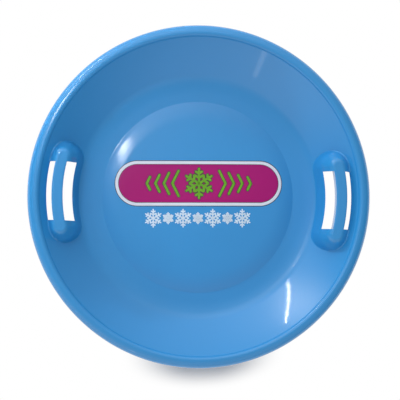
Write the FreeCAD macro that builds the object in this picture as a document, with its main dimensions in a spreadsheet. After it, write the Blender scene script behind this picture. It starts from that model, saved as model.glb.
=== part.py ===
"""Saucer sled: a domed dish with a rolled rim, two arched grips let into its wall, and a label film.

The frame has +Z up along the dish's axis, with the ground at zero. The grips lie on the X axis,
the right one at +X, and the label stands off centre towards +Y.
"""
import FreeCAD, Part
import Sketcher
import math
import os

V = FreeCAD.Vector

# Driving dimensions in millimetres, angles in degrees.
SIZES = {
    # Dish, given as the upper surface of its wall: each bend's radius, and its width outwards.
    "wall": 2.6,
    "dome_radius": 2000.0,
    "dome_width": 138.0,
    "shoulder_radius": 120.0,
    "shoulder_width": 32.0,
    "crease_radius": 5.0,
    "ring_width": 14.3,
    "toe_radius": 100.0,
    "toe_width": 19.0,
    "knee_radius": 34.0,
    "knee_width": 14.0,
    "slope_radius": 540.0,
    "slope_width": 59.0,
    "rim_fillet": 2.0,
    "lip_angle": 74.0,
    "bead_radius": 7.0,
    "roll_radius": 14.8,
    "skirt_height": 5.0,
    # Grip, a mound with drafted sides that follows an arc about the dish's axis.
    "spine_inset": 29.5,
    "mound_top": 63.0,
    "draft_angle": 31.0,
    "crest_half": 5.9,
    "crest_fillet": 8.0,
    "grip_wall": 3.0,
    "bar_width": 19.0,
    "bar_depth": 17.0,
    "rib_thickness": 2.4,
    "rib_pitch": 20.0,
    "window_half": 51.5,
    "window_corner": 1.5,
    "inner_gap": 15.0,
    "outer_gap": 10.0,
    "cap_inset": 10.5,
    # Half lap that joins each grip to the dish.
    "lap_width": 6.0,
    "lap_clearance": 0.15,
    # Label film.
    "label_length": 300.0,
    "label_width": 82.0,
    "label_offset": 24.0,
    "label_angle": 1.9,
    "film": 0.25,
    # How far cutting tools reach past what they cut.
    "overrun": 40.0,
}
# Values that follow from the sizes, each after those that it needs.
RESULTS = {
    "crease_width": "crease_radius * (dome_width / dome_radius + shoulder_width / shoulder_radius)",
    "slope_start": "dome_width + shoulder_width + crease_width + ring_width + toe_width + knee_width",
    "spine_radius": "slope_start + spine_inset",
    "spine_half": "window_half + cap_inset",
    "bar_inner": "spine_radius - bar_width / 2",
    "bar_outer": "spine_radius + bar_width / 2",
    "bar_bottom": "mound_top - bar_depth",
    "window_inner": "bar_inner - inner_gap",
    "window_outer": "bar_outer + outer_gap",
    "tool_reach": "spine_radius + overrun",
    "hollow_half": "crest_half + grip_wall * tan(draft_angle) - grip_wall / cos(draft_angle)",
}
RIB_COUNT = 5
FULL_TURN = 360.0
HALF_TURN = 180.0
QUARTER_TURN = 90.0

doc = FreeCAD.newDocument("saucer_sled")
sheet = doc.addObject("Spreadsheet::Sheet", "Sizes")
cells = [(name, str(size)) for name, size in SIZES.items()]
cells += [(name, "=" + formula) for name, formula in RESULTS.items()]
for row, (name, content) in enumerate(cells, start=1):
    sheet.set("A%d" % row, name)
    sheet.set("B%d" % row, content)
    sheet.setAlias("B%d" % row, name)
doc.recompute()


def value(name):
    """Returns the number in a size's or a result's cell."""
    return float(sheet.get(name))


def bind(obj, prop, formula):
    """Binds a property to a formula in which the name of a size or result stands for its cell."""
    words = []
    word = ""
    for letter in formula + " ":
        if letter.isalnum() or letter == "_":
            word += letter
            continue
        words.append("Sizes." + word if word in SIZES or word in RESULTS else word)
        words.append(letter)
        word = ""
    obj.setExpression(prop, "".join(words).strip())


def origin_plane(body, role):
    """Returns the body's own origin plane of that role."""
    return next(plane for plane in body.Origin.OriginFeatures if plane.Role == role)


def new_body(name):
    return doc.addObject("PartDesign::Body", name)


def new_sketch(body, name, role):
    """Adds a sketch on one of the body's origin planes."""
    sketch = body.newObject("Sketcher::SketchObject", name)
    sketch.AttachmentSupport = (origin_plane(body, role), "")
    sketch.MapMode = "FlatFace"
    return sketch


def datum(sketch, name, formula, *constraint):
    """Adds a driving constraint, named and bound to its formula."""
    index = sketch.addConstraint(Sketcher.Constraint(*constraint))
    sketch.renameConstraint(index, name)
    bind(sketch, "Constraints." + name, formula)


def combine(kind, name, first, *others):
    """Adds a boolean of Part: Cut takes the others away one after another, Common and Fuse take all."""
    if kind == "Cut":
        result = first
        for number, tool in enumerate(others, start=1):
            last = number == len(others)
            cut = doc.addObject("Part::Cut", name if last else "%s_cut_%d" % (name, number))
            cut.Base = result
            cut.Tool = tool
            result = cut
        return result
    result = doc.addObject("Part::Multi" + kind, name)
    result.Shapes = [first, *others]
    return result


# Dish profile.
class Station:
    """End of the profile so far: its point, the sine of its slope, and the element that ends there."""

    def __init__(self):
        self.point = V(0, 0, 0)
        self.sine = 0.0
        self.element = -1
        self.end = 1


def join(sketch, station, element, inner, outer):
    """Ties an element tangent to the one before it, if there is one, and makes it the last."""
    if station.element >= 0:
        sketch.addConstraint(Sketcher.Constraint("Tangent", station.element, station.end, element, inner))
    station.element = element
    station.end = outer


def add_arc(sketch, station, name, sign, sine_end):
    """Carries the profile on by an arc that leaves along the present slope and ends at another.

    The arc has the named radius and bends upwards for a sign of 1, downwards for -1.
    """
    radius = sign * value(name)
    angle_in = math.asin(station.sine)
    angle_out = math.asin(sine_end)
    centre = station.point + V(-math.sin(angle_in), math.cos(angle_in), 0) * radius
    quarter = math.pi / 2
    circle = Part.Circle(centre, V(0, 0, 1), abs(radius))
    if radius > 0:
        arc = Part.ArcOfCircle(circle, angle_in - quarter, angle_out - quarter)
        ends = (1, 2)
    else:
        arc = Part.ArcOfCircle(circle, angle_out + quarter, angle_in + quarter)
        ends = (2, 1)
    element = sketch.addGeometry(arc, False)
    station.point = centre + V(math.sin(angle_out), -math.cos(angle_out), 0) * radius
    station.sine = sine_end
    join(sketch, station, element, *ends)
    datum(sketch, name, name, "Radius", element, abs(radius))
    return element


def add_line(sketch, station, end, direction):
    """Carries the profile on by a straight line to a point."""
    element = sketch.addGeometry(Part.LineSegment(station.point, end), False)
    station.point = end
    join(sketch, station, element, 1, 2)
    sketch.addConstraint(Sketcher.Constraint(direction, element))
    return element


def profile_sketch(name, with_rim):
    """Draws the dish's upper surface from the axis outwards, as tangent arcs, with or without its rim."""
    sketch = doc.addObject("Sketcher::SketchObject", name)
    sketch.Placement = FreeCAD.Placement(V(0, 0, 0), FreeCAD.Rotation(V(1, 0, 0), QUARTER_TURN))
    station = Station()

    def bend(name, sign):
        """Adds an arc that has the radius and the width of that name."""
        width = value(name + "_width")
        start = (station.element, station.end)
        sine_end = station.sine + sign * width / value(name + "_radius")
        arc = add_arc(sketch, station, name + "_radius", sign, sine_end)
        datum(sketch, name + "_width", name + "_width", "DistanceX", *start, arc, station.end, width)
        return arc

    dome = bend("dome", -1)
    sketch.addConstraint(Sketcher.Constraint("PointOnObject", dome, 3, -2))
    sketch.addConstraint(Sketcher.Constraint("PointOnObject", dome, 2, -2))
    bend("shoulder", -1)
    add_arc(sketch, station, "crease_radius", 1, 0.0)
    ring = add_line(sketch, station, station.point + V(value("ring_width"), 0, 0), "Horizontal")
    datum(sketch, "ring_width", "ring_width", "DistanceX", ring, 1, ring, 2, value("ring_width"))
    datum(sketch, "ring_lift", "wall", "DistanceY", -1, 1, ring, 1, station.point.y)
    bend("toe", 1)
    bend("knee", 1)
    bend("slope", 1)
    if not with_rim:
        return sketch
    lip_sine = math.sin(math.radians(value("lip_angle")))
    add_arc(sketch, station, "rim_fillet", 1, lip_sine)
    bead = add_arc(sketch, station, "bead_radius", -1, 0.0)
    bead_width = value("bead_radius") * lip_sine
    sketch.addConstraint(Sketcher.Constraint("Vertical", bead, 3, bead, 1))
    datum(sketch, "bead_width", "bead_radius * sin(lip_angle)", "DistanceX", bead, 2, bead, 1, bead_width)
    add_arc(sketch, station, "roll_radius", -1, -1.0)
    skirt = add_line(sketch, station, station.point - V(0, value("skirt_height"), 0), "Vertical")
    datum(sketch, "skirt_drop", "skirt_height", "DistanceY", skirt, 2, skirt, 1, value("skirt_height"))
    return sketch


def offset_wire(name, source, depth):
    """Adds the source's line moved down by a depth, square to itself."""
    moved = doc.addObject("Part::Offset2D", name)
    moved.Source = source
    moved.Mode = "Skin"
    bind(moved, "Value", depth)
    return moved


def layer(name, source, depth, turn=FULL_TURN):
    """Turns the strip between a line and the same line moved down by a depth about the dish's axis."""
    strip = offset_wire(name + "_strip", source, depth)
    strip.Fill = True
    turned = doc.addObject("Part::Revolution", name)
    turned.Source = strip
    turned.Axis = V(0, 0, 1)
    turned.Angle = turn
    turned.Solid = True
    return turned


# Grip tools, all drawn for the right-hand grip.
def mound(name, half_width, top, fillet=None):
    """Makes a mound from its crest line down to the ground: drafted sides, round ends, round crest.

    Seen from above it is a strip about the spine, an arc about the dish's axis, with half-round ends.
    """
    body = new_body(name)
    sketch = new_sketch(body, name + "_outline", "XY_Plane")
    bind(sketch, "AttachmentOffset.Base.z", top)
    spine = value("spine_radius")
    half = value("crest_half")
    swing = math.asin(value("spine_half") / spine)
    centre = V(0, 0, 0)
    normal = V(0, 0, 1)
    far = V(spine * math.cos(swing), spine * math.sin(swing), 0)
    near = V(far.x, -far.y, 0)
    outer = sketch.addGeometry(Part.ArcOfCircle(Part.Circle(centre, normal, spine + half), -swing, swing))
    inner = sketch.addGeometry(Part.ArcOfCircle(Part.Circle(centre, normal, spine - half), -swing, swing))
    far_circle = Part.Circle(far, normal, half)
    far_cap = sketch.addGeometry(Part.ArcOfCircle(far_circle, swing, swing + math.pi))
    near_circle = Part.Circle(near, normal, half)
    near_cap = sketch.addGeometry(Part.ArcOfCircle(near_circle, math.pi - swing, -swing))
    for arc in (outer, inner):
        sketch.addConstraint(Sketcher.Constraint("Coincident", arc, 3, -1, 1))
    far_joints = ((outer, 2, far_cap, 1), (far_cap, 2, inner, 2))
    near_joints = ((inner, 1, near_cap, 1), (near_cap, 2, outer, 1))
    for joint in far_joints + near_joints:
        sketch.addConstraint(Sketcher.Constraint("Tangent", *joint))
    datum(sketch, "outer_radius", "spine_radius + " + half_width, "Radius", outer, spine + half)
    datum(sketch, "inner_radius", "spine_radius - (" + half_width + ")", "Radius", inner, spine - half)
    datum(sketch, "far_end", "spine_half", "DistanceY", -1, 1, far_cap, 3, far.y)
    datum(sketch, "near_end", "spine_half", "DistanceY", near_cap, 3, -1, 1, far.y)
    pad = body.newObject("PartDesign::Pad", name + "_pad")
    pad.Profile = sketch
    pad.Reversed = True
    bind(pad, "Length", top)
    bind(pad, "TaperAngle", "draft_angle")
    doc.recompute()
    if fillet:
        crest = pad.Shape.BoundBox.ZMax
        rim = [edge for edge in pad.Shape.Edges if edge.BoundBox.ZMin > crest - Part.Precision.confusion()]
        names = ["Edge%d" % (pad.Shape.findSubShape(edge)[1]) for edge in rim]
        rounding = body.newObject("PartDesign::Fillet", name + "_rounding")
        rounding.Base = (pad, names)
        bind(rounding, "Radius", fillet)
    return body


def arc_slot(name, inner, outer, half_length):
    """Makes an upright block, seen from above a strip between two arcs about the axis, cut off square."""
    body = new_body(name)
    sketch = new_sketch(body, name + "_outline", "XY_Plane")
    low = value("window_inner")
    high = value("window_outer")
    side = value("window_half")
    corners = [V(math.sqrt(radius ** 2 - side ** 2), y, 0)
               for radius, y in ((low, -side), (high, -side), (high, side), (low, side))]
    centre = V(0, 0, 0)
    normal = V(0, 0, 1)

    def arc(radius):
        """Adds the arc of a radius about the axis, between the two cut-off lines."""
        swing = math.asin(side / radius)
        return sketch.addGeometry(Part.ArcOfCircle(Part.Circle(centre, normal, radius), -swing, swing))

    near = sketch.addGeometry(Part.LineSegment(corners[0], corners[1]))
    outside = arc(high)
    far = sketch.addGeometry(Part.LineSegment(corners[2], corners[3]))
    inside = arc(low)
    meetings = ((near, 2, outside, 1), (outside, 2, far, 1), (far, 2, inside, 2), (inside, 1, near, 1))
    for meeting in meetings:
        sketch.addConstraint(Sketcher.Constraint("Coincident", *meeting))
    for line in (near, far):
        sketch.addConstraint(Sketcher.Constraint("Horizontal", line))
    for curve in (inside, outside):
        sketch.addConstraint(Sketcher.Constraint("Coincident", curve, 3, -1, 1))
    datum(sketch, "inner_radius", inner, "Radius", inside, low)
    datum(sketch, "outer_radius", outer, "Radius", outside, high)
    datum(sketch, "far_end", half_length, "DistanceY", -1, 1, far, 1, side)
    datum(sketch, "near_end", half_length, "DistanceY", near, 1, -1, 1, side)
    pad = body.newObject("PartDesign::Pad", name + "_pad")
    pad.Profile = sketch
    pad.SideType = "Symmetric"
    bind(pad, "Length", "2 * (mound_top + overrun)")
    return body


def round_corners(body, radius):
    """Rounds the upright edges of a block."""
    doc.recompute()
    pad = body.Tip
    height = pad.Shape.BoundBox.ZLength
    upright = [number for number, edge in enumerate(pad.Shape.Edges, start=1)
               if edge.BoundBox.ZLength > height - Part.Precision.confusion()]
    rounding = body.newObject("PartDesign::Fillet", body.Name + "_rounding")
    rounding.Base = (pad, ["Edge%d" % number for number in upright])
    bind(rounding, "Radius", radius)


def height_band(name, low, high):
    """Makes a disc that reaches past the grips between two heights, to give a strip its depth."""
    band = doc.addObject("Part::Cylinder", name)
    bind(band, "Radius", "tool_reach")
    bind(band, "Placement.Base.z", low)
    bind(band, "Height", high + " - (" + low + ")")
    return band


def mirrored(source, name, normal):
    """Adds the source's mirror image in the plane through the axis that has that normal."""
    image = doc.addObject("Part::Mirroring", name)
    image.Source = source
    image.Normal = normal
    return image


def channel_rib(number):
    """Makes one cross rib of the bar's channel, counted from the bar's -Y end."""
    rib = doc.addObject("Part::Box", "rib_%d" % number)
    along = "%g * rib_pitch" % (number - (RIB_COUNT + 1) / 2)
    length = "bar_width - grip_wall"
    bind(rib, "Length", length)
    bind(rib, "Width", "rib_thickness")
    bind(rib, "Height", "mound_top - grip_wall / 2 - bar_bottom")
    bind(rib, "Placement.Base.x", "sqrt(spine_radius ^ 2 - (%s) ^ 2) - (%s) / 2" % (along, length))
    bind(rib, "Placement.Base.y", "%s - rib_thickness / 2" % along)
    bind(rib, "Placement.Base.z", "bar_bottom")
    return rib


def label_block():
    """Makes an upright block with the label's outline, a strip with half-round ends."""
    body = new_body("label_block")
    sketch = new_sketch(body, "label_outline", "XY_Plane")
    radius = value("label_width") / 2
    reach = value("label_length") / 2 - radius
    normal = V(0, 0, 1)
    quarter = math.pi / 2
    right_end = Part.Circle(V(reach, 0, 0), normal, radius)
    left_end = Part.Circle(V(-reach, 0, 0), normal, radius)
    right = sketch.addGeometry(Part.ArcOfCircle(right_end, -quarter, quarter))
    top = sketch.addGeometry(Part.LineSegment(V(reach, radius, 0), V(-reach, radius, 0)))
    left = sketch.addGeometry(Part.ArcOfCircle(left_end, quarter, quarter * 3))
    bottom = sketch.addGeometry(Part.LineSegment(V(-reach, -radius, 0), V(reach, -radius, 0)))
    for joint in ((right, 2, top, 1), (top, 2, left, 1), (left, 2, bottom, 1), (bottom, 2, right, 1)):
        sketch.addConstraint(Sketcher.Constraint("Tangent", *joint))
    sketch.addConstraint(Sketcher.Constraint("Symmetric", right, 3, left, 3, -1, 1))
    sketch.addConstraint(Sketcher.Constraint("PointOnObject", right, 3, -1))
    datum(sketch, "end_radius", "label_width / 2", "Radius", right, radius)
    datum(sketch, "end_reach", "(label_length - label_width) / 2", "DistanceX", -1, 1, right, 3, reach)
    pad = body.newObject("PartDesign::Pad", "label_pad")
    pad.Profile = sketch
    bind(pad, "Length", "mound_top")
    body.Placement.Rotation = FreeCAD.Rotation(normal, value("label_angle"))
    bind(body, "Placement.Rotation.Angle", "label_angle")
    bind(body, "Placement.Base.y", "label_offset")
    return body


# Layers of the dish. The dish itself is turned as a front half, which the grips cut into at its two ends.
profile = profile_sketch("dish_profile", True)
bowl = profile_sketch("bowl_profile", False)
doc.recompute()
front_wall = layer("front_wall", profile, "wall", HALF_TURN)
lower_half = layer("lower_half", offset_wire("middle_line", bowl, "wall / 2"), "wall / 2")
below = layer("below", offset_wire("under_line", bowl, "wall"), "mound_top")
film_layer = layer("film_layer", bowl, "-film")

# Mounds of the grip: its outside, its hollow, the hole for it, and its lap with the rebate for that.
grip_outer = mound("grip_outer", "crest_half", "mound_top", "crest_fillet")
grip_hollow = mound("grip_hollow", "hollow_half", "mound_top - grip_wall", "crest_fillet - grip_wall")
grip_hole = mound("grip_hole", "crest_half + lap_clearance", "mound_top")
lap_outer = mound("lap_outer", "crest_half + lap_width", "mound_top")
lap_hole = mound("lap_hole", "crest_half + lap_width + lap_clearance", "mound_top")

# Finger windows on either side of the bar, and the gap that the lap leaves open beside them.
inner_window = arc_slot("inner_window", "window_inner", "bar_inner", "window_half")
outer_window = arc_slot("outer_window", "bar_outer", "window_outer", "window_half")
for window in (inner_window, outer_window):
    round_corners(window, "window_corner")
lap_gap = arc_slot("lap_gap", "window_inner", "tool_reach", "window_half")

# Bar of the grip, a channel with its open side down and ribs across it.
bar_strip = arc_slot("bar_strip", "bar_inner", "bar_outer", "spine_half")
bar_band = height_band("bar_band", "bar_bottom", "mound_top")
bar_block = combine("Common", "bar_block", grip_outer, bar_strip, bar_band)
channel_strip = arc_slot("channel_strip", "bar_inner + grip_wall", "bar_outer - grip_wall", "spine_half")
channel_band = height_band("channel_band", "0", "mound_top - grip_wall")
channel = combine("Common", "channel", channel_strip, channel_band)
bar = combine("Cut", "bar", bar_block, channel)
ribs = [channel_rib(number) for number in range(1, RIB_COUNT + 1)]

# Grips. The left one is the right one's mirror image.
grip_skin = combine("Cut", "grip_skin", grip_outer, grip_hollow, inner_window, outer_window, below)
lap_ring = combine("Common", "lap_ring", lower_half, lap_outer)
lap = combine("Cut", "lap", lap_ring, grip_hollow, lap_gap)
right_handle = combine("Fuse", "right_handle", grip_skin, bar, lap, *ribs)
left_handle = mirrored(right_handle, "left_handle", V(1, 0, 0))

# Dish, cut for both grips and for the halves of their laps.
rebate_ring = combine("Common", "rebate_ring", lower_half, lap_hole)
rebate = combine("Cut", "rebate", rebate_ring, lap_gap)
right_cuts = [grip_hole, outer_window, rebate]
left_cuts = [mirrored(tool, tool.Name + "_left", V(1, 0, 0)) for tool in right_cuts]
front_half = combine("Cut", "front_half", front_wall, *right_cuts, *left_cuts)
rear_half = mirrored(front_half, "rear_half", V(0, 1, 0))
saucer_shell = combine("Fuse", "saucer_shell", front_half, rear_half)

label_film = combine("Common", "label_film", film_layer, label_block())
doc.recompute()

PIECES = (saucer_shell, left_handle, right_handle, label_film)
for obj in doc.Objects:
    if "Invalid" in obj.State or "Error" in obj.State:
        raise RuntimeError("%s failed to build" % obj.Name)
for piece in PIECES:
    if piece.Shape.isNull() or not piece.Shape.isValid() or len(piece.Shape.Solids) != 1:
        raise RuntimeError("%s is not one valid solid" % piece.Label)
os.makedirs("parts", exist_ok=True)
for piece in PIECES:
    piece.Shape.exportStep("parts/%s.step" % piece.Label)
    print(piece.Label, round(piece.Shape.Volume), piece.Shape.optimalBoundingBox(False))
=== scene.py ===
"""Saucer sled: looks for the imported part, built around its frame.

The dish, the two grips, the label film and its print are worked out as surfaces from a few driving sizes
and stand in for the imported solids. All lengths are metres, with +Z up along the dish's axis.
"""
import math

import bmesh
import bpy
import numpy as np
from mathutils import Matrix, Vector


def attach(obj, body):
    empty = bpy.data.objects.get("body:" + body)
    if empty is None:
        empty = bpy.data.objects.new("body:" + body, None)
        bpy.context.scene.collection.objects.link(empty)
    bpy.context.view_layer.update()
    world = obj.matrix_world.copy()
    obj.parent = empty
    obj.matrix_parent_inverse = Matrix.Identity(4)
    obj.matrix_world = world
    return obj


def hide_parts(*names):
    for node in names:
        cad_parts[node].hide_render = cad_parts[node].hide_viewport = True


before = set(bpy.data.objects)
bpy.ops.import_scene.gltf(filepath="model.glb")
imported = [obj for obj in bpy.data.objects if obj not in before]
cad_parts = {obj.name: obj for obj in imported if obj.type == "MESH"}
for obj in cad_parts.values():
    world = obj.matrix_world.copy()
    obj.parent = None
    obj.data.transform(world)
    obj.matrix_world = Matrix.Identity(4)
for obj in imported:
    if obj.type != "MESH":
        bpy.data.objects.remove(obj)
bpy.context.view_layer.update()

bl_info = {
    "name": "Saucer sled",
    "version": (1, 0, 0),
    "blender": (4, 5, 0),
    "location": "View3D > Sidebar > Sled",
    "description": "Builds the looks of a saucer sled around its packed frame",
    "category": "Object",
}

BODY = "root"
IMAGE_SIDE = 400
# Points closer than this become one. Edges sharper than the first angle stay sharp, and normals within the
# second one of the dish's follow the dish.
WELD = 5e-6
SHARP_ANGLE = math.radians(38)
SEAM_ANGLE = math.radians(20)
# How close to a corner of the bar the rows beside it lie.
EDGE = 0.0007
# Steps of the grids: round the dish, outwards over its arcs, round its rim, and over the grips.
WIDE_STEPS = 48
STRAIGHT_STEPS = 12
SEAT_STEPS = 14
SHOULDER_STEPS = 14
CREASE_STEPS = 5
RING_STEPS = 4
RISE_STEPS = 26
CLIMB_STEPS = 30
RIM_FILLET_STEPS = 5
BEAD_STEPS = 14
ROLL_STEPS = 16
LIP_STEPS = 7
CREST_STEPS = 12
GAP_STEPS = 10
FLANK_STEPS = 24
CAP_STEPS = 26
END_STEPS = 6
WINDOW_STEPS = 36
# Rounds after which stepping and halving have settled.
STEPPING_ROUNDS = 8
HALVING_ROUNDS = 40
# Capsules of film and ink: steps round an end, the width that adds one more, and the length of a step.
CAPSULE_STEPS = 6
CAPSULE_STEP_WIDTH = 0.001
CAPSULE_RUN = 0.006
# Snow crystals: six arms, one of them upright, and where branches start and how long they are.
SIXTH_TURN = math.pi / 3
CRYSTAL_TURN = SIXTH_TURN / 2
CRYSTAL_BRANCH_SHARES = ((0.38, 0.34), (0.68, 0.24))
SMALL_CRYSTAL_SHARE = 0.62
# A chevron this many places past the last one would have no size.
CHEVRON_TAPER = 3
# Rings in the wall: their spacing and height, the noise that breaks them up, and where they fade out.
RIPPLE_PITCH = 0.0078
RIPPLE_HEIGHT = 0.000004
RIPPLE_WANDER = 0.5
RIPPLE_WANDER_SCALE = 11.0
RIPPLE_FADE = 0.008
# Noise over a surface, as scale and detail: clouds in its colour, scuffs in its gloss, and orange peel.
CLOUD_NOISE = (9.0, 3.0)
SCUFF_NOISE = (60.0, 5.0)
PEEL_NOISE = (140.0, 2.0)
NOISE_MIDDLE = 0.5
PEEL_HEIGHT = 0.000001
# Each surface: its lightest and darkest tint, its roughness, how uneven that is, and its reflection. The
# plastic has a hazy reflection around its sharp one.
PLASTIC_TINTS = (1.03, 0.97)
PLASTIC_ROUGHNESS = 0.06
PLASTIC_UNEVEN = 0.02
PLASTIC_SPECULAR = 0.4
HAZE_WEIGHT = 0.5
HAZE_ROUGHNESS = 0.24
INK_TINTS = (1.04, 0.94)
INK_ROUGHNESS = 0.3
INK_UNEVEN = 0.1
INK_SPECULAR = 0.3
FILM_TINTS = (1.08, 0.92)
FILM_ROUGHNESS = 0.22
FILM_UNEVEN = 0.08
# The rim in the photograph: its radius in pixels, and how far its middle is from the picture's. Then its
# real radius and level.
RIM_PIXELS = 171.75
RIM_SHIFT = (-0.4, -4.24)
RIM_RADIUS = 0.3
RIM_LEVEL = 0.0533
# Floor, and the white of its glow and of the light around.
WHITE = (1, 1, 1, 1)
FLOOR_SIDE = 14.0
FLOOR_LEVEL = -0.0004
FLOOR_COLOUR = (0.9, 0.9, 0.9, 1)
# Where the floor is white to the camera: beyond the rim, but not in the rim's shadow, and under the grips.
# Under the grips the white is painted light over the sled's shadow, and under the rim it is painted light
# that fades in from the sled's base outwards. Each pair says where a ramp starts and ends.
GLOW_START = (0.2, 0.3)
SHADE_MIDDLE = (0.02, -0.3)
SHADE_REACH = (0.15, 0.03)
SHADE_END = (0.305, 0.345)
GRIP_PAINTED_LIGHT_START = (0.205, 0.225)
GRIP_PAINTED_LIGHT_SIDES = (0.095, 0.056)
# Soft light from all around: azimuth and elevation in degrees, sharpness, strength.
EVEN_LIGHT = 0.12
SOFT_LIGHTS = (
    (130, 13, 60, 3.2),
    (139, 63, 70, 0.9),
    (148, 24, 60, 0.45),
    (112, 13, 60, 0.4),
    (120, 45, 6, 1.42),
    (60, 45, 6, 0.38),
    (240, 45, 6, 0.3),
    (300, 45, 6, 0.55),
    (45, 8, 6, 0.3),
    (90, 8, 6, 0.58),
    (225, 8, 6, 0.98),
    (270, 8, 6, 0.56),
    (315, 8, 6, 0.13),
    (0, 90, 6, 0.16),
)
# Lamps: place, aim, the way the long side runs, sizes, power, and for some the spread in degrees.
SOFTBOX = {"width": 0.36, "length": 0.36, "spread": 10}
LAMPS = (
    dict(SOFTBOX, name="softbox_low", place=(-0.936, 0.79, 1.697), aim=(-0.125, 0.085, 0.01), power=0.03),
    dict(SOFTBOX, name="softbox_middle", place=(-0.797, 0.671, 1.855), aim=(-0.119, 0.081, 0.012),
         power=0.021),
    dict(SOFTBOX, name="softbox_high", place=(-0.627, 0.524, 1.947), aim=(-0.113, 0.077, 0.0135),
         power=0.011),
    dict(name="tube_low", place=(-1.069, 1.514, 0.642), aim=(0.16, -0.18, 0.033),
         upright=(-0.266, -0.286, 0.389), width=0.012, length=0.551, power=1.5),
    dict(name="tube_high", place=(-1.183, 1.301, 0.956), aim=(0.155, -0.135, 0.014),
         upright=(0.085, -0.312, 0.533), width=0.012, length=0.28, power=0.6),
    dict(name="side_strip", place=(-0.599, -1.746, 0.643), aim=(0.11, 0.23, 0.04),
         upright=(-0.008, 0.095, 0.422), width=0.07, length=0.433, power=0.14),
    dict(name="key", place=(-1.648, 1.383, 0.457), aim=(0, 0, 0.03), width=0.15, length=0.15, power=13.0,
         reflected=False),
)


# Settings.
def metres(label, default, description):
    """Returns a length property in metres."""
    return bpy.props.FloatProperty(name=label, description=description, default=default, unit="LENGTH",
                                   precision=5)


def degrees(label, default, description):
    """Returns an angle property, its default written in degrees."""
    return bpy.props.FloatProperty(name=label, description=description, default=math.radians(default),
                                   subtype="ANGLE")


def how_many(label, default, description):
    """Returns a property that counts like things."""
    return bpy.props.IntProperty(name=label, description=description, default=default)


def linear_colour(label, default, description):
    """Returns a colour property in linear light."""
    return bpy.props.FloatVectorProperty(name=label, description=description, default=default, size=3,
                                         min=0, max=1, subtype="COLOR")


class SledDish(bpy.types.PropertyGroup):
    """Upper surface of the dish's wall: each bend's radius, and its width outwards from the axis."""
    wall: metres("Wall", 0.0026, "Thickness of the wall")
    dome_radius: metres("Dome radius", 2.0, "Radius of the crowned seat")
    dome_width: metres("Dome width", 0.138, "Width of the crowned seat from the axis")
    shoulder_radius: metres("Shoulder radius", 0.12, "Radius of the seat's falling edge")
    shoulder_width: metres("Shoulder width", 0.032, "Width of the seat's falling edge")
    crease_radius: metres("Crease radius", 0.005, "Fillet between the seat and the running ring")
    ring_width: metres("Ring width", 0.0143, "Width of the flat running ring")
    toe_radius: metres("Toe radius", 0.1, "Radius of the first, gentle rise")
    toe_width: metres("Toe width", 0.019, "Width of the first, gentle rise")
    knee_radius: metres("Knee radius", 0.034, "Radius of the bend up into the wall")
    knee_width: metres("Knee width", 0.014, "Width of the bend up into the wall")
    slope_radius: metres("Slope radius", 0.54, "Radius of the rising wall")
    slope_width: metres("Slope width", 0.059, "Width of the rising wall")
    rim_fillet: metres("Rim fillet", 0.0035, "Fillet between the wall and the rolled rim")
    lip_angle: degrees("Lip angle", 68, "Steepest slope of the rim's inner side")
    bead_radius: metres("Bead radius", 0.00695, "Radius of the rim's inner side")
    roll_radius: metres("Roll radius", 0.0148, "Radius of the rim's outer side")
    skirt_height: metres("Skirt height", 0.005, "Height of the straight skirt under the roll")


class SledGrip(bpy.types.PropertyGroup):
    """A mound with a round crest, sloping shoulders and steep sides, and a bar between two windows."""
    spine_inset: metres("Spine inset", 0.0295, "From the foot of the wall's slope out to the grip's spine")
    mound_top: metres("Mound top", 0.0645, "Height of the crest")
    crest_half: metres("Crest half width", 0.0115, "Half width of the crest before it is rounded")
    crest_blend: metres("Crest blend", 0.0075, "Height over which the crest is rounded")
    shoulder_draft: degrees("Shoulder draft", 35, "Lean of the mound's shoulders from upright")
    side_reach: metres("Side reach", 0.0285, "From the spine to the mound's side at the side's level")
    side_level: metres("Side level", 0.036, "Height at which the side's reach is given")
    side_draft: degrees("Side draft", 13, "Lean of the mound's sides from upright")
    side_blend: metres("Side blend", 0.01, "Height over which shoulders and sides are rounded")
    foot_blend: metres("Foot blend", 0.005, "Height over which the mound runs out into the wall")
    wall: metres("Wall", 0.003, "Thickness of the mound's skin")
    bar_width: metres("Bar width", 0.019, "Width of the bar")
    bar_depth: metres("Bar depth", 0.017, "Depth of the bar below the crest")
    rib_thickness: metres("Rib thickness", 0.0024, "Thickness of a cross rib under the bar")
    rib_pitch: metres("Rib pitch", 0.02, "Spacing of the cross ribs")
    rib_count: how_many("Ribs", 5, "Number of cross ribs")
    window_half: metres("Window half length", 0.0508, "Half length of the finger windows")
    inner_gap: metres("Inner gap", 0.016, "Width of the window on the seat's side")
    outer_gap: metres("Outer gap", 0.0094, "Width of the window on the rim's side")
    cap_inset: metres("Cap inset", 0.0102, "From the end of a window to the middle of the mound's round end")


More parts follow.
